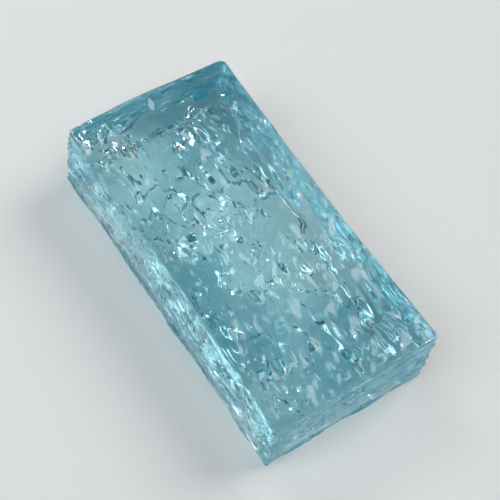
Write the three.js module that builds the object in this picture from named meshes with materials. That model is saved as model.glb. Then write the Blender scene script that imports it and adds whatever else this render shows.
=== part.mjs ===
// A solid block of cast glass, lying flat. It was poured into an open mould, so its top is fire-polished
// and runs in soft waves inside a sharp, smooth rim. Its walls are lapped and wrinkled where the glass
// froze against the mould in layers, and its underside is folded and creased inside a flat margin that it
// rests on. It is one piece with nothing inside.
//
// Millimetres. X runs along the block, Y across it and Z up. The origin is the middle of the underside.

import * as THREE from 'three';
import { ImprovedNoise } from 'three/addons/math/ImprovedNoise.js';
import { mergeVertices } from 'three/addons/utils/BufferGeometryUtils.js';

// Sizes between the drawn faces, at the rim: the waves, laps and bows stand up to 2 mm out of them
const BLOCK_LENGTH = 200;
const BLOCK_WIDTH = 100;
const BLOCK_HEIGHT = 50;
const WALL_DRAFT_DEGREES = 0.3;

// Rounding: the four upright corners in plan, the polished rim and the foot
const NEAR_FRONT_RADIUS = 3;
const NEAR_BACK_RADIUS = 4.5;
const FAR_FRONT_RADIUS = 2.5;
const FAR_BACK_RADIUS = 3;
const RIM_RADIUS = 1.2;
const FOOT_RADIUS = 2.4;

// How far the middle of each wall stands out of the straight line between its corners, and how far the
// front wall's rim turns out again at its far corner
const NEAR_END_BOW = 1.2;
const FAR_END_BOW = -0.1;
const FRONT_SIDE_BOW = -0.7;
const BACK_SIDE_BOW = -1.9;
const CORNER_FLARE = 1.6;
const CORNER_FLARE_LENGTH = 30;

// Waves of the top: broad swells with smaller waves on them. A size is the width of one rise or hollow
const TOP_SWELL_SIZE = 34;
const TOP_SWELL_HEIGHT = 0.9;
const TOP_WAVE_SIZE = 11;
const TOP_WAVE_HEIGHT = 1.2;
const RIM_CALM = 14;

// Waves of the walls: the outline wanders along each wall, and wrinkles lie on it under the rim
const OUTLINE_WAVE_SIZE = 27;
const OUTLINE_WAVE_DEPTH = 0.7;
const WRINKLE_LENGTH = 17;
const WRINKLE_HEIGHT = 6.5;
const WRINKLE_DEPTH = 1.2;
const WRINKLE_TOP_GAP = 6;
const EDGE_REACH = 12;

// Laps of the walls: each layer of the pour leans out to a lip, and the next begins behind that lip.
// The lips rise and fall along the wall, and they die away towards its corners. The back side and the
// near end froze first, so their laps are the deeper ones
const LAP_HEIGHT = 11;
const FRONT_LAP_DEPTH = 1.5;
const BACK_LAP_DEPTH = 2.4;
const LAP_LIP = 0.75;
const LAP_SWAY = 1.2;
const LAP_SWAY_LENGTH = 45;
const LAP_SWAY_HEIGHT = 16;

// The underside: folds and creases run up into the glass inside the flat margin
const MARGIN_WIDTH = 9.5;
const MARGIN_BLEND = 5;
const FOLD_LENGTH = 15;
const FOLD_WIDTH = 11;
const FOLD_DEPTH = 4.6;
const CREASE_SPACING = 17;
const CREASE_DEPTH = 2.2;
const CREASE_SPREAD = 0.3;

const FACET_SIZE = 4.4;
const WALL_FACET_HEIGHT = 2.6;
const SMALLEST_STEP = 0.2;

const GLASS_COLOUR = 0x8fc4cf;
const GLASS_OPACITY = 0.55;
const GLASS_ROUGHNESS = 0.06;

const { clamp, degToRad, euclideanModulo, lerp, smoothstep } = THREE.MathUtils;
const HALF_LENGTH = BLOCK_LENGTH / 2;
const HALF_WIDTH = BLOCK_WIDTH / 2;

// Perlin noise is zero on whole numbers, so each set of waves is cut from its own level between two of them
const unevenness = new ImprovedNoise();
const TOP_SWELL_LEVEL = 3.4;
const TOP_WAVE_LEVEL = 7.6;
const OUTLINE_LEVEL = 11.5;
const LAP_LEVEL = 14.4;
const CREASE_LEVEL = 17.3;
const FOLD_LEVEL = 21.6;

/** Grid lines between two faces: the given steps in from each of them, and even ones between. */
function gridLines(low, high, lowSteps, highSteps, spacing) {
  const start = low + lowSteps.at(-1);
  const end = high - highSteps.at(-1);
  const count = Math.max(1, Math.round((end - start) / spacing));
  const middle = Array.from({ length: count + 1 }, (_, index) => lerp(start, end, index / count));
  const lowLines = lowSteps.slice(0, -1).map((step) => low + step);
  const highLines = highSteps.slice(0, -1).map((step) => high - step).reverse();
  return [...lowLines, ...middle, ...highLines];
}

/** Distances in from an edge that divide its quarter-round fillet into four equal turns. */
function filletSteps(radius) {
  return [0, radius * (1 - Math.tan(Math.PI / 8)), radius];
}

/** The radius of the upright corner in the quarter of the plan that a point lies in. */
function cornerRadiusAt(point) {
  const nearRadius = point.y < 0 ? NEAR_FRONT_RADIUS : NEAR_BACK_RADIUS;
  const farRadius = point.y < 0 ? FAR_FRONT_RADIUS : FAR_BACK_RADIUS;
  return point.x < 0 ? nearRadius : farRadius;
}

/** Distances in from the outline: round the rim's fillet, then to the corner arcs and across the margin. */
function planSteps() {
  const corners = [NEAR_FRONT_RADIUS, NEAR_BACK_RADIUS, FAR_FRONT_RADIUS, FAR_BACK_RADIUS];
  const arcSteps = [Math.min(...corners), Math.max(...corners)];
  const steps = [...filletSteps(RIM_RADIUS), ...arcSteps, MARGIN_WIDTH].sort((a, b) => a - b);
  return steps.filter((step, index) => index === 0 || step - steps[index - 1] > SMALLEST_STEP);
}

/** Carries the square corner of a plan onto the round one, and leaves the rest where it is. */
function roundCorner(point) {
  const radius = cornerRadiusAt(point);
  const core = new THREE.Vector2(
    clamp(point.x, radius - HALF_LENGTH, HALF_LENGTH - radius),
    clamp(point.y, radius - HALF_WIDTH, HALF_WIDTH - radius),
  );
  const arm = point.clone().sub(core);
  const reach = Math.max(Math.abs(arm.x), Math.abs(arm.y));
  return core.add(arm.setLength(reach));
}

/** How deep a plan point lies inside the rounded outline, and the way out of it. */
function outlineAt(point) {
  const radius = cornerRadiusAt(point);
  const past = new THREE.Vector2(
    Math.abs(point.x) - (HALF_LENGTH - radius),
    Math.abs(point.y) - (HALF_WIDTH - radius),
  );
  const outward = new THREE.Vector2(Math.max(past.x, 0), Math.max(past.y, 0));
  const cornerReach = outward.length();
  if (cornerReach === 0) {
    outward.set(past.x >= past.y ? 1 : 0, past.x >= past.y ? 0 : 1);
  }
  outward.normalize();
  outward.x *= Math.sign(point.x);
  outward.y *= Math.sign(point.y);
  const depth = radius - cornerReach - Math.min(Math.max(past.x, past.y), 0);
  return { depth, outward };
}

/** Rolls the edge between a wall and a level face: both arguments are distances in from those faces. */
function rollEdge(depth, height, radius) {
  const coreDepth = Math.max(depth, radius);
  const coreHeight = Math.max(height, radius);
  const arm = new THREE.Vector2(depth - coreDepth, height - coreHeight).setLength(radius);
  return { depth: coreDepth + arm.x, height: coreHeight + arm.y };
}

/** How far a wall stands out of its straight line at a plan point, for the wall that the point lies on. */
function bowAt(plan, outward) {
  const endBow = outward.x < 0 ? NEAR_END_BOW : FAR_END_BOW;
  const sideBow = outward.y < 0 ? FRONT_SIDE_BOW : BACK_SIDE_BOW;
  const acrossEnd = 1 - (plan.y / HALF_WIDTH) ** 2;
  const alongSide = 1 - (plan.x / HALF_LENGTH) ** 2;
  return endBow * acrossEnd * outward.x ** 2 + sideBow * alongSide * outward.y ** 2;
}

/** How far the front wall turns out towards its far corner: fully at the rim and not at all at the foot. */
function flareAt(plan, outward, z) {
  const towardCorner = smoothstep(plan.x, HALF_LENGTH - CORNER_FLARE_LENGTH, HALF_LENGTH);
  const onFront = Math.min(outward.y, 0) ** 2;
  return CORNER_FLARE * towardCorner * onFront * (z / BLOCK_HEIGHT);
}

/** How far a layer of the pour leans out at a height: from nothing to its lip, and back in under the next. */
function lapWave(plan, outward, z) {
  const swayLevel = LAP_LEVEL + z / LAP_SWAY_HEIGHT;
  const sway = unevenness.noise(plan.x / LAP_SWAY_LENGTH, plan.y / LAP_SWAY_LENGTH, swayLevel);
  const rise = euclideanModulo(z / LAP_HEIGHT + sway * LAP_SWAY, 1);
  const lean = rise * (1 - smoothstep(rise, LAP_LIP, 1)) - LAP_LIP / 2;
  const offEnd = 1 - (plan.y / HALF_WIDTH) ** 4;
  const offSide = 1 - (plan.x / HALF_LENGTH) ** 4;
  const backShare = Math.min(outward.x, 0) ** 2 + Math.max(outward.y, 0) ** 2;
  const depth = lerp(FRONT_LAP_DEPTH, BACK_LAP_DEPTH, backShare);
  return depth * lean * (offEnd * outward.x ** 2 + offSide * outward.y ** 2);
}

/** The walls' outline, laps and wrinkles: how far the glass stands out of the drawn wall. */
function wallWave(plan, outward, z) {
  const { x, y } = plan;
  const outline = unevenness.noise(x / OUTLINE_WAVE_SIZE, y / OUTLINE_WAVE_SIZE, OUTLINE_LEVEL);
  const wrinkle = unevenness.noise(x / WRINKLE_LENGTH, y / WRINKLE_LENGTH, z / WRINKLE_HEIGHT);
  const underRim = 1 - smoothstep(z, BLOCK_HEIGHT - WRINKLE_TOP_GAP, BLOCK_HEIGHT);
  const relief = wrinkle * WRINKLE_DEPTH + lapWave(plan, outward, z);
  return outline * OUTLINE_WAVE_DEPTH + relief * underRim;
}

/** The top's rise over its drawn level: the small waves die away towards the rim. */
function topWave(x, y, depth) {
  const swell = unevenness.noise(x / TOP_SWELL_SIZE, y / TOP_SWELL_SIZE, TOP_SWELL_LEVEL);
  const wave = unevenness.noise(x / TOP_WAVE_SIZE, y / TOP_WAVE_SIZE, TOP_WAVE_LEVEL);
  return swell * TOP_SWELL_HEIGHT + wave * TOP_WAVE_HEIGHT * smoothstep(depth, 0, RIM_CALM);
}

/** How far the underside's folds and creases run up into the glass: nothing on the margin. */
function undersideRise(x, y, depth) {
  const fold = Math.abs(unevenness.noise(x / FOLD_LENGTH, y / FOLD_WIDTH, FOLD_LEVEL));
  const distance = Math.abs(unevenness.noise(x / CREASE_SPACING, y / CREASE_SPACING, CREASE_LEVEL));
  const crease = 1 - smoothstep(distance, 0, CREASE_SPREAD);
  const inside = smoothstep(depth, MARGIN_WIDTH, MARGIN_WIDTH + MARGIN_BLEND);
  return (FOLD_DEPTH * fold + CREASE_DEPTH * crease) * inside;
}

/** Shapes one point of the squared-up block: corners, fillets, draft, bows and waves in turn. */
function castPoint(x, y, z) {
  const plan = roundCorner(new THREE.Vector2(x, y));
  const { depth, outward } = outlineAt(plan);
  const isUpper = z > BLOCK_HEIGHT / 2;
  const rolled = rollEdge(depth, isUpper ? BLOCK_HEIGHT - z : z, isUpper ? RIM_RADIUS : FOOT_RADIUS);
  const level = isUpper ? BLOCK_HEIGHT - rolled.height : rolled.height;

  const nearEdge = 1 - smoothstep(rolled.depth, 0, EDGE_REACH);
  const draft = (BLOCK_HEIGHT - level) * Math.tan(degToRad(WALL_DRAFT_DEGREES));
  const course = bowAt(plan, outward) + flareAt(plan, outward, level) - draft;
  const standOut = course + wallWave(plan, outward, level);
  plan.addScaledVector(outward, depth - rolled.depth + standOut * nearEdge);

  const nearTop = smoothstep(level, BLOCK_HEIGHT / 2, BLOCK_HEIGHT);
  const underside = z === 0 ? undersideRise(plan.x, plan.y, depth) : 0;
  return new THREE.Vector3(plan.x, plan.y, level + topWave(plan.x, plan.y, depth) * nearTop + underside);
}

/** The cast block: a box whose grid lines follow its fillets, with every point carried to its place. */
function castBlock() {
  const columns = gridLines(-HALF_LENGTH, HALF_LENGTH, planSteps(), planSteps(), FACET_SIZE);
  const rows = gridLines(-HALF_WIDTH, HALF_WIDTH, planSteps(), planSteps(), FACET_SIZE);
  const footSteps = filletSteps(FOOT_RADIUS);
  const rimSteps = filletSteps(RIM_RADIUS);
  const levels = gridLines(0, BLOCK_HEIGHT, footSteps, rimSteps, WALL_FACET_HEIGHT);
  const counts = [columns.length - 1, rows.length - 1, levels.length - 1];

  const box = new THREE.BoxGeometry(...counts, ...counts);
  box.translate(counts[0] / 2, counts[1] / 2, counts[2] / 2);
  box.deleteAttribute('normal');
  box.deleteAttribute('uv');
  const block = mergeVertices(box);

  const places = block.attributes.position;
  for (let index = 0; index < places.count; index += 1) {
    const x = columns[Math.round(places.getX(index))];
    const y = rows[Math.round(places.getY(index))];
    const z = levels[Math.round(places.getZ(index))];
    places.setXYZ(index, ...castPoint(x, y, z));
  }

  block.computeBoundingBox();
  const middle = block.boundingBox.getCenter(new THREE.Vector3());
  block.translate(-middle.x, -middle.y, 0);
  block.computeVertexNormals();
  return block;
}

const glass = new THREE.MeshStandardMaterial({
  color: GLASS_COLOUR,
  roughness: GLASS_ROUGHNESS,
  metalness: 0,
  opacity: GLASS_OPACITY,
  transparent: true,
});

const block = new THREE.Mesh(castBlock(), glass);
block.name = 'glass_block';

const part = new THREE.Group();
part.name = 'glass_block_part';
part.add(block);

export default part;
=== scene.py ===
"""A solid block of cast glass, lying flat on a pale studio floor.

The block's outline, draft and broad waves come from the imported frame. This script works the fine relief of
casting into a copy of it, gives it its glass, and sets up the floor, the light and the camera.
"""

import logging
import math
from dataclasses import dataclass, field
from enum import Enum
from typing import Any, Sequence, Union

import bpy
from mathutils import Matrix, Vector, noise


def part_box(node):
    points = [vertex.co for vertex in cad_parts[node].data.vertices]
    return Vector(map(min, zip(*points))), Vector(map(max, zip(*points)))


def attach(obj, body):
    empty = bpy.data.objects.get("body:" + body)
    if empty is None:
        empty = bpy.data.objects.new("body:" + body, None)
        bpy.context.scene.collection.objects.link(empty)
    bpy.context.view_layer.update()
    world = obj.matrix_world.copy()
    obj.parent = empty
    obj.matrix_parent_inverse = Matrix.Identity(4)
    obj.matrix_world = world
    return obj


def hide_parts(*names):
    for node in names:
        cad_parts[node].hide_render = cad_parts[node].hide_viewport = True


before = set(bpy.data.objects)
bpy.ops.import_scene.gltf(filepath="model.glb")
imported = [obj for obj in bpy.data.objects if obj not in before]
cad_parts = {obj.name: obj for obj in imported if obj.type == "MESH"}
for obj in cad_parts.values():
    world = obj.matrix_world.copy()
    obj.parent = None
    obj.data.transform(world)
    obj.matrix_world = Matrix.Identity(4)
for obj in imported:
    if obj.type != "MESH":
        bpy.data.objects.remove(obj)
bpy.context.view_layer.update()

GLOSSY_BOUNCES = 16
TRANSMISSION_BOUNCES = 24

log = logging.getLogger("glass_block")

Pair = tuple[float, float]
Triple = tuple[float, float, float]
Value = Union["Wire", float, Triple]


# ---------------------------------------------------------------- shader nodes


class Wire:
    """An output socket that can be used in arithmetic, which adds Math nodes to its tree."""

    def __init__(self, bench: "Bench", socket: bpy.types.NodeSocket) -> None:
        """Wrap an output socket of a node that was made on a bench."""
        self.bench = bench
        self.socket = socket

    def __add__(self, other: Value) -> "Wire":
        """Return the sum."""
        return self.bench.math("ADD", self, other)

    def __radd__(self, other: Value) -> "Wire":
        """Return the sum, for a number on the left."""
        return self.bench.math("ADD", other, self)

    def __sub__(self, other: Value) -> "Wire":
        """Return the difference."""
        return self.bench.math("SUBTRACT", self, other)

    def __rsub__(self, other: Value) -> "Wire":
        """Return the difference, for a number on the left."""
        return self.bench.math("SUBTRACT", other, self)

    def __mul__(self, other: Value) -> "Wire":
        """Return the product."""
        return self.bench.math("MULTIPLY", self, other)

    def __rmul__(self, other: Value) -> "Wire":
        """Return the product, for a number on the left."""
        return self.bench.math("MULTIPLY", other, self)

    def __abs__(self) -> "Wire":
        """Return the value without its sign."""
        return self.bench.math("ABSOLUTE", self)


class Bench:
    """A node tree, with one way to add each kind of node."""

    def __init__(self, tree: bpy.types.NodeTree) -> None:
        """Empty the tree of a material or a world and work on it."""
        self.tree = tree
        tree.nodes.clear()

    def node(self, kind: str, settings: dict[str, Any] | None = None, **inputs: Any) -> bpy.types.Node:
        """Add a node.

        Args:
            kind: The node's type name, without the leading ShaderNode.
            settings: Properties set on the node before its sockets, such as an operation.
            **inputs: Values or wires by socket name, with underscores for spaces. A name such as
                input_0 is a socket's number.

        Returns:
            The new node.
        """
        made = self.tree.nodes.new("ShaderNode" + kind)
        for name, value in (settings or {}).items():
            setattr(made, name, value)
        for name, value in inputs.items():
            number = name.removeprefix("input_")
            key = int(number) if number.isdigit() else name.replace("_", " ")
            self.feed(made.inputs[key], value)
        return made

    def feed(self, socket: bpy.types.NodeSocket, value: Any) -> None:
        """Link a wire to a socket, or set the socket's own value.

        Args:
            socket: The input socket.
            value: A wire, a number or a tuple; a colour's missing alpha is taken as 1.
        """
        if isinstance(value, Wire):
            self.tree.links.new(value.socket, socket)
        elif socket.type == "RGBA" and len(value) == 3:
            socket.default_value = (*value, 1.0)
        else:
            socket.default_value = value

    def wire(self, node: bpy.types.Node, output: str | int = 0) -> Wire:
        """Return one of a node's outputs as a wire."""
        return Wire(self, node.outputs[output])

    def math(self, operation: str, *values: Value) -> Wire:
        """Add a Math node and return its result."""
        inputs = {f"input_{index}": value for index, value in enumerate(values)}
        return self.wire(self.node("Math", {"operation": operation}, **inputs))

    def vector_math(self, operation: str, first: Value, second: Value, output: str = "Vector") -> Wire:
        """Add a Vector Math node and return its result."""
        made = self.node("VectorMath", {"operation": operation}, input_0=first, input_1=second)
        return self.wire(made, output)

    def z_of(self, vector: Wire) -> Wire:
        """Return the Z of a vector."""
        return self.wire(self.node("SeparateXYZ", Vector=vector), "Z")

    def blend(self, factor: Value, low: Value, high: Value) -> Wire:
        """Mix two colours and return the result."""
        made = self.node("Mix", {"data_type": "RGBA"}, input_0=factor, input_6=low, input_7=high)
        return self.wire(made, 2)

    def noise(self, place: Wire, scale: float, detail: float = 2.0, warp: float = 0.0) -> Wire:
        """Return a noise from 0 to 1 with a number of features to the metre."""
        made = self.node("TexNoise", Vector=place, Scale=scale, Detail=detail, Distortion=warp)
        return self.wire(made)

    def rise(self, value: Value, start: float, end: float, low: float = 0.0, high: float = 1.0) -> Wire:
        """Carry a value smoothly from one range to another, and hold it at the ends.

        Args:
            value: The wire to carry.
            start: Where the first range starts.
            end: Where the first range ends.
            low: The result at the start.
            high: The result at the end.

        Returns:
            The carried value.
        """
        made = self.node(
            "MapRange", {"interpolation_type": "SMOOTHSTEP"},
            Value=value, From_Min=start, From_Max=end, To_Min=low, To_Max=high,
        )
        return self.wire(made)


# ---------------------------------------------------------------- mesh work


class Zone(Enum):
    """Parts of the block's surface, by the name of the vertex group that holds each one's weights."""

    TOP = "top"
    TOP_CRUMPLED = "top_crumpled"
    WALLS = "walls"
    NEAR_WALLS = "near_walls"
    LAPS = "laps"
    UNDERSIDE = "underside"
    UNDERSIDE_CRUMPLED = "underside_crumpled"


class Pattern(Enum):
    """Procedural textures with features of about one unit, each by its kind and its settings."""

    CLOUDS = ("CLOUDS", {"noise_scale": 1.0, "noise_depth": 1, "noise_basis": "ORIGINAL_PERLIN"})
    SWIRLS = ("DISTORTED_NOISE", {"noise_scale": 1.0, "distortion": 1.2})
    RIDGES = (
        "MUSGRAVE",
        {"noise_scale": 1.0, "musgrave_type": "RIDGED_MULTIFRACTAL", "octaves": 2.0, "lacunarity": 2.2},
    )


class Push(Enum):
    """The ways that a layer of relief can move the surface, by Blender's name."""

    OUTWARD = "NORMAL"
    UPWARD = "Z"


def deselect_all() -> None:
    """Leave object mode with nothing selected."""
    if bpy.context.object and bpy.context.object.mode != "OBJECT":
        bpy.ops.object.mode_set(mode="OBJECT")
    bpy.ops.object.select_all(action="DESELECT")


def take_up(piece: bpy.types.Object) -> None:
    """Make one object the only selected and active one.

    Args:
        piece: The object.
    """
    deselect_all()
    piece.select_set(True)
    bpy.context.view_layer.objects.active = piece


def smooth_step(value: float, low: float, high: float) -> float:
    """Return 0 under low, 1 over high and a smooth rise between."""
    share = min(1.0, max(0.0, (value - low) / (high - low)))
    return share * share * (3.0 - 2.0 * share)


def noise_at(spot: Vector, size: Triple, lift: float = 0.0) -> float:
    """Return a noise from about -1 to 1 with features of a size, read a number of features higher up."""
    return noise.noise(Vector((spot.x / size[0], spot.y / size[1], spot.z / size[2] + lift)))


@dataclass(frozen=True)
class Relief:
    """One layer of relief on one zone of the block.

    Attributes:
        name: What the layer is.
        zone: Where it lies.
        pattern: Its texture, or None where the zone's weights alone are the relief.
        depth: How far the surface moves for a texture value of 1, in metres.
        size: The size of one feature along the block's own axes, in metres.
        push: The way that the surface moves.
        middle: The texture value that leaves the surface where it is.
    """

    name: str
    zone: Zone
    pattern: Pattern | None
    depth: float
    size: Triple = (1.0, 1.0, 1.0)
    push: Push = Push.OUTWARD
    middle: float = 0.5

    def press(self, piece: bpy.types.Object) -> None:
        """Work the layer into the piece's mesh.

        Args:
            piece: The block.
        """
        deselect_all()
        bpy.ops.object.empty_add()
        gauge = bpy.context.object
        gauge.scale = self.size
        bpy.context.view_layer.update()
        take_up(piece)
        layer = piece.modifiers.new(self.name, "DISPLACE")
        if self.pattern:
            kind, settings = self.pattern.value
            layer.texture = bpy.data.textures.new(self.name, kind)
            for key, value in settings.items():
                setattr(layer.texture, key, value)
            layer.texture_coords = "OBJECT"
            layer.texture_coords_object = gauge
        layer.vertex_group = self.zone.value
        layer.direction = self.push.value
        layer.mid_level = self.middle
        layer.strength = self.depth
        bpy.ops.object.modifier_apply(modifier=layer.name)
        bpy.data.objects.remove(gauge)


# ---------------------------------------------------------------- finishes


@dataclass(frozen=True)
class CastGlass:
    """Clear light-blue glass with the fine ripple and dull spots that a mould leaves.

    The body of the glass absorbs light. The underside also has soft patches of painted shade, a deeper tint
    that stands in for the uneven light under the block and shows through the top. A pair marked as an edge
    is where something starts and where it is at its full.

    Attributes:
        name: The material's name.
        absorption_colour: How freely red, green and blue pass, where 1 isn't absorbed at all.
        absorption_density: How strongly the body absorbs a colour that is 0, for each metre.
        refraction: The index of refraction.
        roughness: The least and greatest roughness.
        dull_scale: How many dull spots lie on a metre.
        dull_edge: The edge of a dull spot in its noise.
        wall_roughness: How much rougher the walls are.
        level_edge: The edge of the level faces in how far up or down they look. The rest is wall.
        clear: The tint between the patches of painted shade.
        painted_shade_colour: The deeper tint in a patch of painted shade, which stands in for darker light
            under the block.
        shade_patch_scale: How many patches of painted shade lie on a metre.
        shade_patch_shift: How far the patches of painted shade are shifted, in metres.
        shade_patch_edge: The edge of a patch of painted shade in its noise.
        upper_edge: The edge, in metres up, of the part of the block that has no painted shade.
        ripple: The height of the fine ripple, in metres.
        ripple_scale: How many of its features lie on a metre.
        ripple_warp: How strongly it is warped.
        grain: The height of the walls' grain, in metres.
        grain_scale: How many of its features lie on a metre of the walls' height.
        grain_squeeze: How many times closer they lie along each axis than that scale.
        grain_warp: How strongly it is warped.
    """

    name: str = "cast_glass"
    absorption_colour: Triple = (0.0, 0.70, 0.81)
    absorption_density: float = 9.0
    refraction: float = 1.52
    roughness: Pair = (0.0, 0.04)
    dull_scale: float = 55.0
    dull_edge: Pair = (0.45, 0.7)
    wall_roughness: float = 0.08
    level_edge: Pair = (0.5, 0.9)
    clear: Triple = (1.0, 1.0, 1.0)
    # Painted shade: the deeper tint of the underside's patches stands in for darker light under the block.
    painted_shade_colour: Triple = (0.42, 0.63, 0.70)
    shade_patch_scale: float = 13.0
    shade_patch_shift: Triple = (1.3, 0.2, 0.5)
    shade_patch_edge: Pair = (0.4, 0.62)
    upper_edge: Pair = (0.006, 0.010)
    ripple: float = 0.00003
    ripple_scale: float = 300.0
    ripple_warp: float = 0.6
    grain: float = 0.00008
    grain_scale: float = 450.0
    grain_squeeze: Triple = (0.3, 0.3, 1.0)
    grain_warp: float = 0.4

    def make(self) -> bpy.types.Material:
        """Build the material.

        Returns:
            The material.
        """
        material = bpy.data.materials.new(self.name)
        material.use_nodes = True
        bench = Bench(material.node_tree)
        place = bench.wire(bench.node("TexCoord"), "Object")
        upward = bench.z_of(bench.wire(bench.node("NewGeometry"), "True Normal"))
        wall = 1.0 - bench.rise(abs(upward), *self.level_edge)
        dullness = bench.rise(bench.noise(place, self.dull_scale), *self.dull_edge, *self.roughness)
        # The base colour carries the painted shade of the underside's patches.
        shader = bench.node(
            "BsdfPrincipled",
            Base_Color=self._tint_with_painted_shade(bench, place), Roughness=dullness + wall * self.wall_roughness,
            IOR=self.refraction, Transmission_Weight=1.0, Normal=self._bent_normal(bench, place, wall),
        )
        body = bench.node("VolumeAbsorption", Color=self.absorption_colour, Density=self.absorption_density)
        bench.node("OutputMaterial", Surface=bench.wire(shader), Volume=bench.wire(body))
        return material

    def _tint_with_painted_shade(self, bench: Bench, place: Wire) -> Wire:
        """Work out the surface's tint, with patches of painted shade on the underside that stand in for
        uneven light under it.

        Args:
            bench: The material's node bench.
            place: The block's own coordinates.

        Returns:
            The colour.
        """
        # Painted shade: soft patches of a deeper tint low on the block, seen through the top, standing in
        # for darker and paler light under it.
        under = 1.0 - bench.rise(bench.z_of(place), *self.upper_edge)
        shifted = bench.vector_math("ADD", place, self.shade_patch_shift)
        shade_patches = bench.rise(bench.noise(shifted, self.shade_patch_scale, detail=1.0), *self.shade_patch_edge)
        return bench.blend(shade_patches * under, self.clear, self.painted_shade_colour)

    def _bent_normal(self, bench: Bench, place: Wire, wall: Wire) -> Wire:
        """Bend the normal by the ripple and the walls' grain.

        Args:
            bench: The material's node bench.
            place: The block's own coordinates.
            wall: How far a spot belongs to a wall, from 0 to 1.

        Returns:
            The normal.
        """
        squeezed = bench.vector_math("MULTIPLY", place, self.grain_squeeze)
        grain = bench.noise(squeezed, self.grain_scale, warp=self.grain_warp)
        ripple = bench.noise(place, self.ripple_scale, warp=self.ripple_warp)
        height = ripple * self.ripple + grain * wall * self.grain
        return bench.wire(bench.node("Bump", Strength=1.0, Distance=1.0, Height=height))


@dataclass(frozen=True)
class PlainPaper:
    """A matt pale studio ground.

    Attributes:
        name: The material's name.
        colour: Its colour.
        roughness: Its roughness.
    """

    name: str = "studio_ground"
    colour: Triple = (0.83, 0.83, 0.815)
    roughness: float = 0.8

    def make(self) -> bpy.types.Material:
        """Build the material.

        Returns:
            The material.
        """
        material = bpy.data.materials.new(self.name)
        material.use_nodes = True
        bench = Bench(material.node_tree)
        shader = bench.node("BsdfPrincipled", Base_Color=self.colour, Roughness=self.roughness)
        bench.node("OutputMaterial", Surface=bench.wire(shader))
        return material


# ---------------------------------------------------------------- the block


@dataclass(frozen=True)
class Laps:
    """The laps that the glass froze in along the walls, each one over the one below.

    Attributes:
        height: The height of one lap, in metres.
        drift_size: The size of the laps' slow rises and falls, in metres.
        drift: How many laps high they are.
        waver_size: The size of the laps' quick rises and falls, in metres.
        waver: How many laps high they are.
        waver_lift: How much higher up their noise is read, in features.
        lip: The share of a lap's height where its lip starts to turn in, and where it ends.
    """

    height: float = 0.0058
    drift_size: Triple = (0.045, 0.045, 0.016)
    drift: float = 1.5
    waver_size: Triple = (0.013, 0.013, 0.006)
    waver: float = 0.25
    waver_lift: float = 9.0
    lip: Pair = (0.88, 1.0)

    def stand_out(self, spot: Vector) -> float:
        """Tell how far a spot on a wall stands out of its lap.

        Args:
            spot: The spot, in metres.

        Returns:
            A number from 0 at the lap's foot to nearly 1 at its lip.
        """
        drift = noise_at(spot, self.drift_size)
        waver = noise_at(spot, self.waver_size, self.waver_lift)
        phase = spot.z / self.height + self.drift * drift + self.waver * waver
        rise = phase - math.floor(phase)
        return rise * (1.0 - smooth_step(rise, *self.lip))


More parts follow.
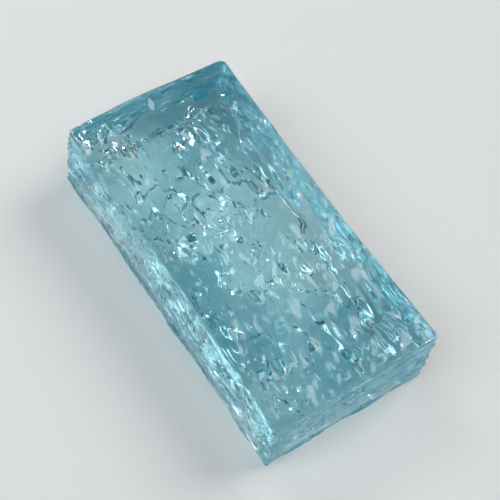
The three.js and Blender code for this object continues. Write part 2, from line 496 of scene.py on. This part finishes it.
@dataclass
class GlassBlock:
    """The cast block: a copy of the frame's solid, refined and given its fine relief.

    A pair marked as an edge is where something starts and where it is at its full.

    Attributes:
        node: The frame's node that it stands for.
        body: The body that it rides on.
        slot: The record's material slot; not used.
        glass: Its finish.
        laps: The laps of its far walls.
        merge_reach: How far apart the points of its copy may lie that are merged, in metres.
        refinements: How many times each facet is halved both ways.
        most_triangles: How many triangles the finished mesh may have.
        level_edge: The edge of the top and the underside in how far up or down the surface looks.
        wall_edge: The edge of the walls in how far that falls short of straight up or down.
        side_edge: The edge of the near walls, and of the far ones, in how far the surface looks that way.
        rim_calm: The width of the smooth strip inside the rim, in metres.
        wall_top: How far under the top the walls' relief ends, in metres.
        wall_full: How far under the top it is at its full, in metres.
        margin: The width of the flat margin of the underside, in metres.
        margin_fade: The width over which the relief inside it sets in, in metres.
        patch_size: The size of the crumpled patches, in metres.
        patch_edge: The edge of a crumpled patch in its noise.
        calm_edge: The edge, along the block, of the end with the calmer underside, in metres.
        calm_share: How much calmer the crumpling is there.
        reliefs: The layers of relief, in the order that they are worked in.
    """

    node: str = "glass_block"
    body: str = "root"
    slot: str = "cast_glass"
    glass: CastGlass = field(default_factory=CastGlass)
    laps: Laps = field(default_factory=Laps)
    merge_reach: float = 0.00001
    refinements: int = 2
    most_triangles: int = 194_000
    level_edge: Pair = (0.5, 0.95)
    wall_edge: Pair = (0.3, 0.9)
    side_edge: Pair = (0.3, 0.7)
    rim_calm: float = 0.010
    wall_top: float = 0.003
    wall_full: float = 0.009
    margin: float = 0.0095
    margin_fade: float = 0.006
    patch_size: float = 0.030
    patch_edge: Pair = (-0.3, 0.1)
    calm_edge: Pair = (-0.015, 0.03)
    calm_share: float = 0.35
    reliefs: Sequence[Relief] = (
        Relief("wall_laps", Zone.LAPS, None, depth=0.0012, middle=0.0),
        Relief(
            "top_waves", Zone.TOP, Pattern.CLOUDS,
            depth=0.0027, size=(0.024, 0.008, 0.008), push=Push.UPWARD,
        ),
        Relief(
            "top_squiggles", Zone.TOP_CRUMPLED, Pattern.SWIRLS,
            depth=0.0009, size=(0.012, 0.005, 0.008), push=Push.UPWARD, middle=0.0,
        ),
        Relief(
            "underside_flow", Zone.UNDERSIDE, Pattern.SWIRLS,
            depth=0.0022, size=(0.024, 0.011, 0.012), push=Push.UPWARD, middle=-0.5,
        ),
        Relief(
            "underside_crackle", Zone.UNDERSIDE_CRUMPLED, Pattern.RIDGES,
            depth=0.0026, size=(0.013, 0.006, 0.008), push=Push.UPWARD, middle=0.0,
        ),
        Relief("wall_layers", Zone.WALLS, Pattern.CLOUDS, depth=0.0007, size=(0.006, 0.006, 0.004)),
        Relief(
            "near_wall_pebbles", Zone.NEAR_WALLS, Pattern.CLOUDS,
            depth=0.0012, size=(0.0026, 0.0026, 0.0022),
        ),
    )

    def build(self) -> bpy.types.Object:
        """Model the block and dress it.

        Returns:
            The block.
        """
        piece = self._copy_of_frame()
        self._refine(piece)
        self._mark_zones(piece)
        for relief in self.reliefs:
            relief.press(piece)
        self._thin_out(piece)
        self._rest_on_floor(piece)
        take_up(piece)
        bpy.ops.object.shade_smooth()
        piece.data.materials.clear()
        piece.data.materials.append(self.glass.make())
        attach(piece, self.body)
        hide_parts(self.node)
        return piece

    def _copy_of_frame(self) -> bpy.types.Object:
        """Copy the frame's solid, merge the copy's points and pair its facets back into squares.

        Returns:
            The copy.
        """
        deselect_all()
        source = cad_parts[self.node]
        piece = source.copy()
        piece.data = source.data.copy()
        piece.name = "cast_block"
        piece.data.name = "cast_block"
        piece.parent = None
        for key in list(piece.keys()):
            del piece[key]
        bpy.context.scene.collection.objects.link(piece)
        take_up(piece)
        bpy.ops.object.mode_set(mode="EDIT")
        bpy.ops.mesh.select_all(action="SELECT")
        bpy.ops.mesh.remove_doubles(threshold=self.merge_reach)
        bpy.ops.mesh.customdata_custom_splitnormals_clear()
        bpy.ops.mesh.tris_convert_to_quads()
        bpy.ops.object.mode_set(mode="OBJECT")
        return piece

    def _refine(self, piece: bpy.types.Object) -> None:
        """Divide the facets into a fine even grid with a subdivision surface.

        Args:
            piece: The block.
        """
        layer = piece.modifiers.new("refine", "SUBSURF")
        layer.levels = self.refinements
        layer.render_levels = self.refinements
        take_up(piece)
        bpy.ops.object.modifier_apply(modifier=layer.name)

    def _mark_zones(self, piece: bpy.types.Object) -> None:
        """Weigh each vertex by how much it belongs to each zone.

        Args:
            piece: The block.
        """
        groups = {zone: piece.vertex_groups.new(name=zone.value) for zone in Zone}
        low, high = (Vector(corner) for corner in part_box(self.node))
        for vertex in piece.data.vertices:
            for zone, weight in self._weights(vertex.co, vertex.normal, low, high).items():
                groups[zone].add([vertex.index], weight, "REPLACE")

    def _weights(self, spot: Vector, outward: Vector, low: Vector, high: Vector) -> dict[Zone, float]:
        """Work out how much a spot of the surface belongs to each zone.

        Args:
            spot: The spot, in metres.
            outward: The surface's normal there.
            low: The lowest corner of the solid's box.
            high: The highest corner of the solid's box.

        Returns:
            A weight from 0 to 1 for each zone.
        """
        inward = min(spot.x - low.x, high.x - spot.x, spot.y - low.y, high.y - spot.y)
        top = smooth_step(outward.z, *self.level_edge) * smooth_step(inward, 0.0, self.rim_calm)
        inner = smooth_step(inward, self.margin, self.margin + self.margin_fade)
        underside = smooth_step(-outward.z, *self.level_edge) * inner
        under_rim = 1.0 - smooth_step(spot.z, high.z - self.wall_full, high.z - self.wall_top)
        wall = smooth_step(1.0 - abs(outward.z), *self.wall_edge) * under_rim
        near_side = smooth_step(max(outward.x, -outward.y), *self.side_edge)
        far_side = smooth_step(max(-outward.x, outward.y), *self.side_edge)
        crumpled = smooth_step(noise.noise(spot / self.patch_size), *self.patch_edge)
        liveliness = 1.0 - self.calm_share * smooth_step(spot.x, *self.calm_edge)
        return {
            Zone.TOP: top,
            Zone.TOP_CRUMPLED: top * crumpled,
            Zone.WALLS: wall,
            Zone.NEAR_WALLS: wall * near_side,
            Zone.LAPS: wall * self.laps.stand_out(spot) * far_side,
            Zone.UNDERSIDE: underside,
            Zone.UNDERSIDE_CRUMPLED: underside * crumpled * liveliness,
        }

    def _thin_out(self, piece: bpy.types.Object) -> None:
        """Merge the flattest facets until the mesh keeps to its budget of triangles.

        Args:
            piece: The block.
        """
        triangles = sum(len(facet.vertices) - 2 for facet in piece.data.polygons)
        layer = piece.modifiers.new("thin_out", "DECIMATE")
        layer.decimate_type = "COLLAPSE"
        layer.ratio = min(1.0, self.most_triangles / triangles)
        take_up(piece)
        bpy.ops.object.modifier_apply(modifier=layer.name)

    def _rest_on_floor(self, piece: bpy.types.Object) -> None:
        """Flatten what the relief has pushed under the level that the block rests on."""
        for vertex in piece.data.vertices:
            vertex.co.z = max(vertex.co.z, 0.0)


# ---------------------------------------------------------------- the studio


@dataclass
class Ground:
    """The floor that the block lies on.

    Attributes:
        reach: Half its width, in metres.
        gap: How far under the block's foot it lies, in metres, so that the two surfaces don't coincide.
        finish: Its finish.
    """

    reach: float = 6.0
    gap: float = 0.0002
    finish: PlainPaper = field(default_factory=PlainPaper)

    def build(self) -> bpy.types.Object:
        """Lay the floor.

        Returns:
            The floor.
        """
        deselect_all()
        bpy.ops.mesh.primitive_plane_add(size=2 * self.reach, location=(0, 0, -self.gap))
        floor = bpy.context.object
        floor.name = "studio_floor"
        bpy.ops.object.transform_apply(location=True)
        floor.data.materials.append(self.finish.make())
        return floor


@dataclass(frozen=True)
class Softbox:
    """A square white area lamp that looks at the block.

    Attributes:
        name: The lamp's name.
        place: Where it hangs, in metres.
        size: The length of its side, in metres.
        power: Its power, in watts.
        gloss_only: Whether it shows only in the glass and leaves matt surfaces unlit.
    """

    name: str
    place: Triple
    size: float
    power: float
    gloss_only: bool = False

    def hang(self) -> None:
        """Hang the lamp."""
        deselect_all()
        bpy.ops.object.light_add(type="AREA", location=self.place)
        lamp = bpy.context.object
        lamp.name = self.name
        lamp.data.shape = "SQUARE"
        lamp.data.size = self.size
        lamp.data.energy = self.power
        lamp.rotation_euler = (-Vector(self.place)).to_track_quat("-Z", "Y").to_euler()
        lamp.visible_camera = False
        lamp.visible_diffuse = not self.gloss_only


@dataclass(frozen=True)
class Window:
    """A bright part of the light from all round.

    Attributes:
        toward: The way to its middle, of a length of about 1.
        bright: Its strength.
        colour: Its colour.
        reach: The cosines at its outer edge and where its full strength starts.
    """

    toward: Triple
    bright: float
    colour: Triple
    reach: Pair = (0.925, 0.965)


@dataclass
class Studio:
    """The light round the block.

    Attributes:
        sky_colour: The colour of the light from all round.
        sky_dim: Its strength overhead.
        ring: Its strength at the horizon and under it.
        ring_edge: The sines of the heights where the ring starts to fade and where it ends.
        windows: Its bright parts.
        lamps: The softboxes.
    """

    sky_colour: Triple = (0.96, 0.985, 1.0)
    sky_dim: float = 0.1
    ring: float = 0.8
    ring_edge: Pair = (0.05, 0.3)
    windows: Sequence[Window] = (
        Window(toward=(-0.10, -0.62, 0.77), bright=3.4, colour=(0.80, 0.90, 1.0)),
        Window(toward=(0.52, 0.02, 0.85), bright=0.8, colour=(1.0, 1.0, 1.0)),
        Window(toward=(0.05, 0.66, 0.75), bright=4.0, colour=(1.0, 0.99, 0.97)),
    )
    lamps: Sequence[Softbox] = (
        Softbox("key", place=(-1.0, -0.15, 1.25), size=0.5, power=4.0),
        Softbox("sparkle_left", place=(-1.0, -0.15, 1.25), size=0.11, power=4.0, gloss_only=True),
        Softbox("sparkle_back", place=(0.2, 0.75, 1.3), size=0.10, power=3.5, gloss_only=True),
        Softbox("sparkle_end", place=(-0.95, 0.2, 1.1), size=0.10, power=3.5, gloss_only=True),
    )

    def build(self) -> None:
        """Light the studio."""
        world = bpy.data.worlds.new("studio")
        bpy.context.scene.world = world
        world.use_nodes = True
        bench = Bench(world.node_tree)
        way = bench.wire(bench.node("TexCoord"), "Generated")
        strength = bench.rise(bench.z_of(way), *self.ring_edge, self.ring, self.sky_dim)
        colour: Value = self.sky_colour
        for window in self.windows:
            nearness = bench.vector_math("DOT_PRODUCT", way, window.toward, "Value")
            share = bench.rise(nearness, *window.reach)
            strength = share * window.bright + strength
            colour = bench.blend(share, colour, window.colour)
        sky = bench.node("Background", Color=colour, Strength=strength)
        bench.node("OutputWorld", Surface=bench.wire(sky))
        for lamp in self.lamps:
            lamp.hang()


@dataclass
class Viewpoint:
    """The camera: a long lens that looks down on the block.

    Attributes:
        place: Where it stands, in metres.
        sight: The way that it looks.
        upward: The way that the view's upper edge lies.
        lens: Its focal length, in millimetres.
        sensor: The width of its sensor, in millimetres.
        farthest: How far it sees, in metres.
    """

    place: Triple = (0.2581, -0.2584, 0.6599)
    sight: Triple = (-0.3510, 0.3587, -0.8649)
    upward: Triple = (-0.7555, 0.4371, 0.4879)
    lens: float = 98.68
    sensor: float = 36.0
    farthest: float = 50.0

    def build(self) -> None:
        """Set up the camera."""
        deselect_all()
        bpy.ops.object.camera_add(location=self.place)
        camera = bpy.context.object
        camera.name = "camera"
        back = -Vector(self.sight).normalized()
        right = Vector(self.upward).cross(back).normalized()
        turn = Matrix((right, back.cross(right), back)).transposed().to_4x4()
        camera.matrix_world = Matrix.Translation(self.place) @ turn
        camera.data.lens = self.lens
        camera.data.sensor_width = self.sensor
        camera.data.clip_end = self.farthest
        bpy.context.scene.camera = camera


def main() -> None:
    """Build the scene piece by piece."""
    logging.basicConfig(level=logging.INFO, format="%(message)s")
    scene = bpy.context.scene
    scene.view_settings.view_transform = "Standard"
    scene.cycles.max_bounces = TRANSMISSION_BOUNCES
    scene.cycles.glossy_bounces = GLOSSY_BOUNCES
    scene.cycles.transmission_bounces = TRANSMISSION_BOUNCES

    Viewpoint().build()
    block = GlassBlock().build()
    log.info("%s: %d faces", block.name, len(block.data.polygons))
    floor = Ground().build()
    log.info("%s: %d face", floor.name, len(floor.data.polygons))
    Studio().build()


if __name__ == "__main__":
    main()
